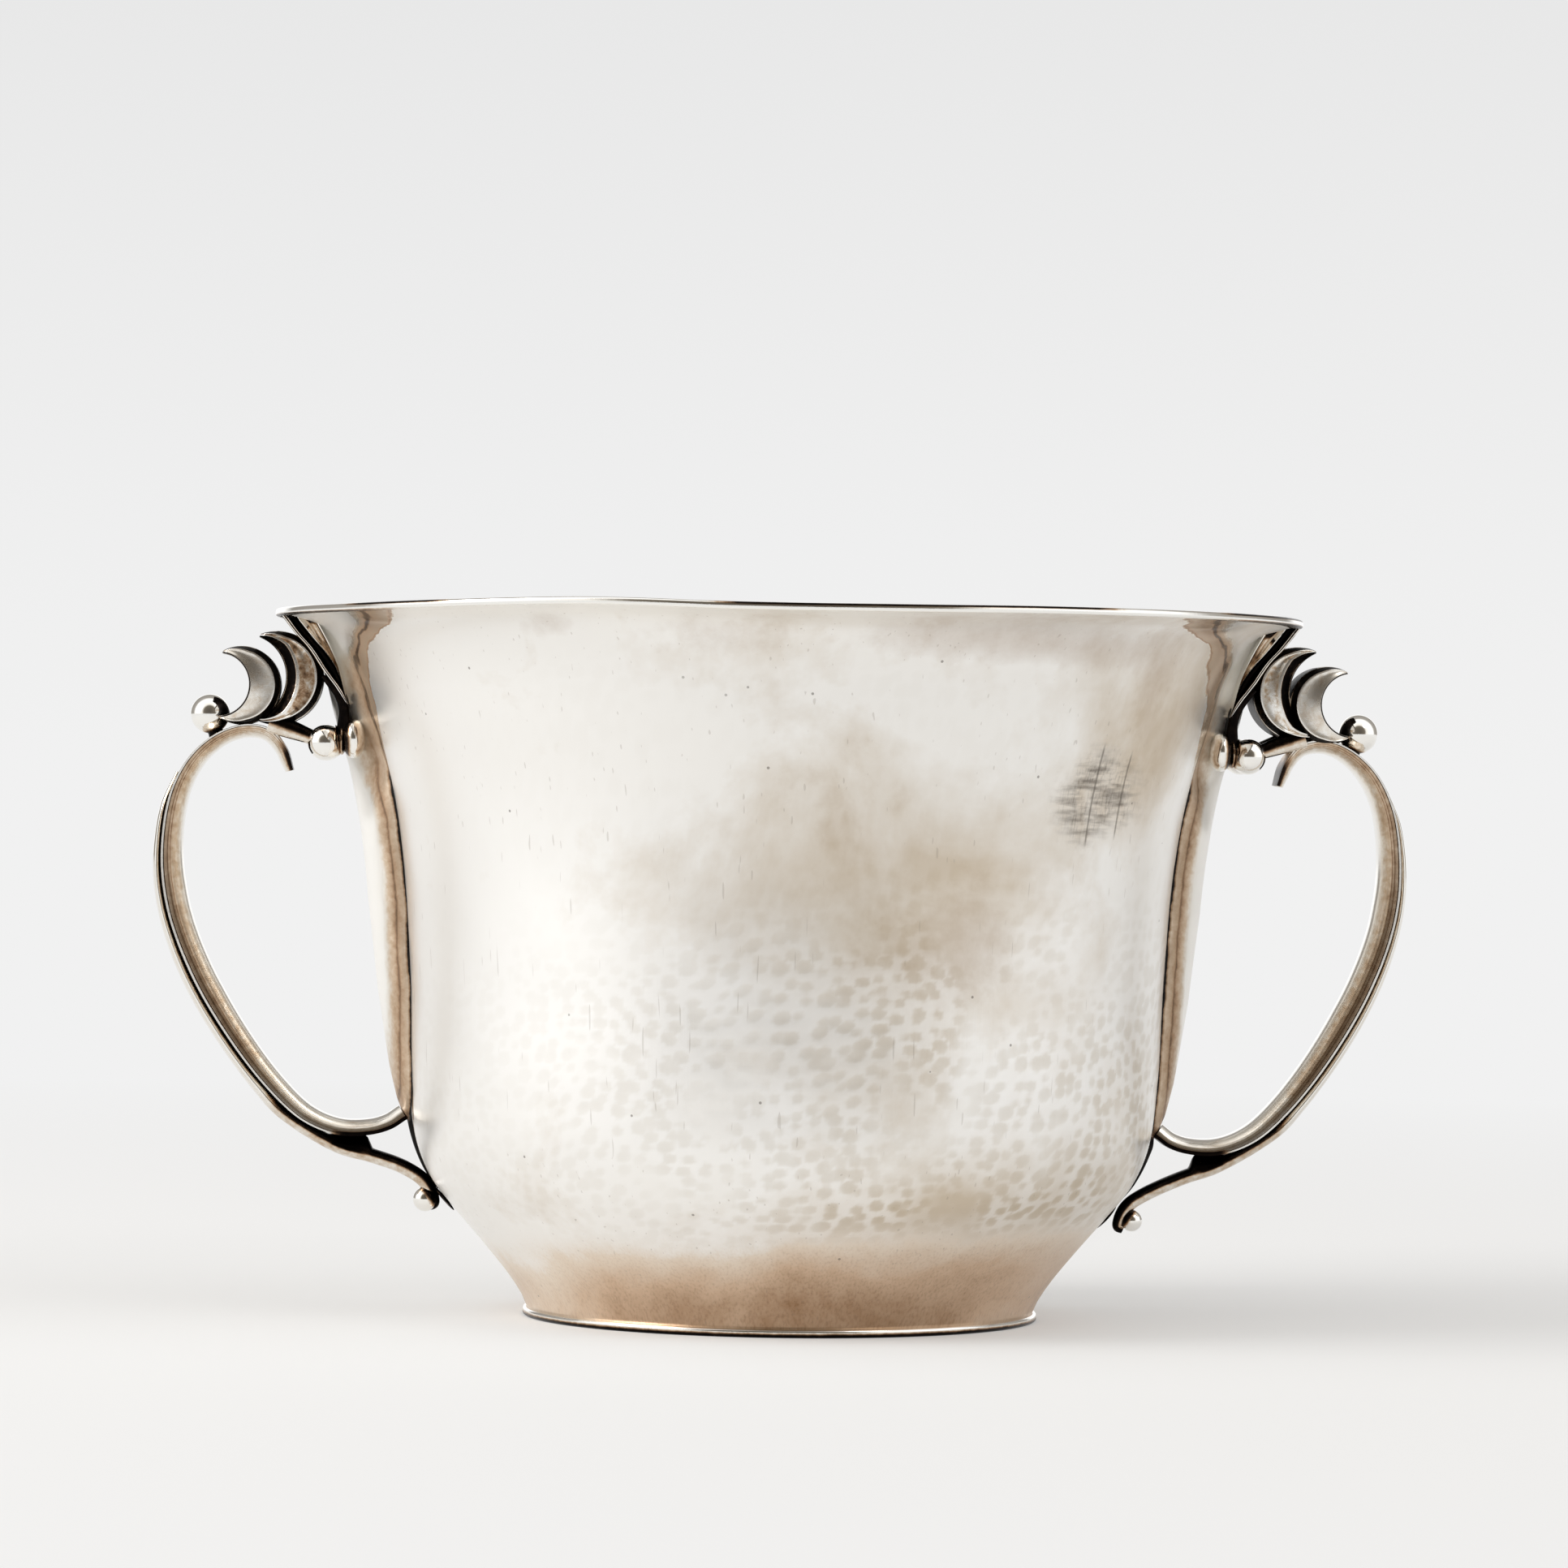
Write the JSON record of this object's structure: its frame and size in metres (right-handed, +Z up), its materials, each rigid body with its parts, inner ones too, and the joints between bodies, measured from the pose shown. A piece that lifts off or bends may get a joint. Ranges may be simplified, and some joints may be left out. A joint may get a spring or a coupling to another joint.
{
  "type": "two-handled bowl",
  "caption": "Hand-raised hammered silver bowl with a bell-shaped mouth, a low foot ring and two open scroll handles carried on side ribs.",
  "frame": {"origin": "on the table under the centre of the foot ring", "axes": "+Z up through the mouth, +X out through the right handle, -Y towards the side shown in the picture"},
  "size_m": [0.2086, 0.1704, 0.1162],
  "materials": {
    "hammered_silver": "hammered, satin",
    "polished_silver": "polished, lightly tarnished",
    "oxidised_silver": "satin, darkened in the recesses"
  },
  "bodies": {
    "root": {"bowl_body": "hammered_silver", "rim_wire": "polished_silver", "foot_ring": "polished_silver", "left_side_rib": "polished_silver", "left_handle_strap": "polished_silver", "left_handle_spine": "polished_silver", "left_spine_bead": "polished_silver", "left_small_crescent": "polished_silver", "left_large_crescent": "polished_silver", "left_top_ball": "polished_silver", "left_spine_pad": "oxidised_silver", "left_front_outer_ball": "polished_silver", "left_front_inner_ball": "polished_silver", "left_front_collar": "oxidised_silver", "left_front_strut": "oxidised_silver", "left_front_post": "oxidised_silver", "left_front_bracket": "polished_silver", "left_rear_outer_ball": "polished_silver", "left_rear_inner_ball": "polished_silver", "left_rear_collar": "oxidised_silver", "left_rear_strut": "oxidised_silver", "left_rear_post": "oxidised_silver", "left_rear_bracket": "polished_silver", "right_side_rib": "polished_silver", "right_handle_strap": "polished_silver", "right_handle_spine": "polished_silver", "right_spine_bead": "polished_silver", "right_small_crescent": "polished_silver", "right_large_crescent": "polished_silver", "right_top_ball": "polished_silver", "right_spine_pad": "oxidised_silver", "right_front_outer_ball": "polished_silver", "right_front_inner_ball": "polished_silver", "right_front_collar": "oxidised_silver", "right_front_strut": "oxidised_silver", "right_front_post": "oxidised_silver", "right_front_bracket": "polished_silver", "right_rear_outer_ball": "polished_silver", "right_rear_inner_ball": "polished_silver", "right_rear_collar": "oxidised_silver", "right_rear_strut": "oxidised_silver", "right_rear_post": "oxidised_silver", "right_rear_bracket": "polished_silver"}
  },
  "joints": []
}
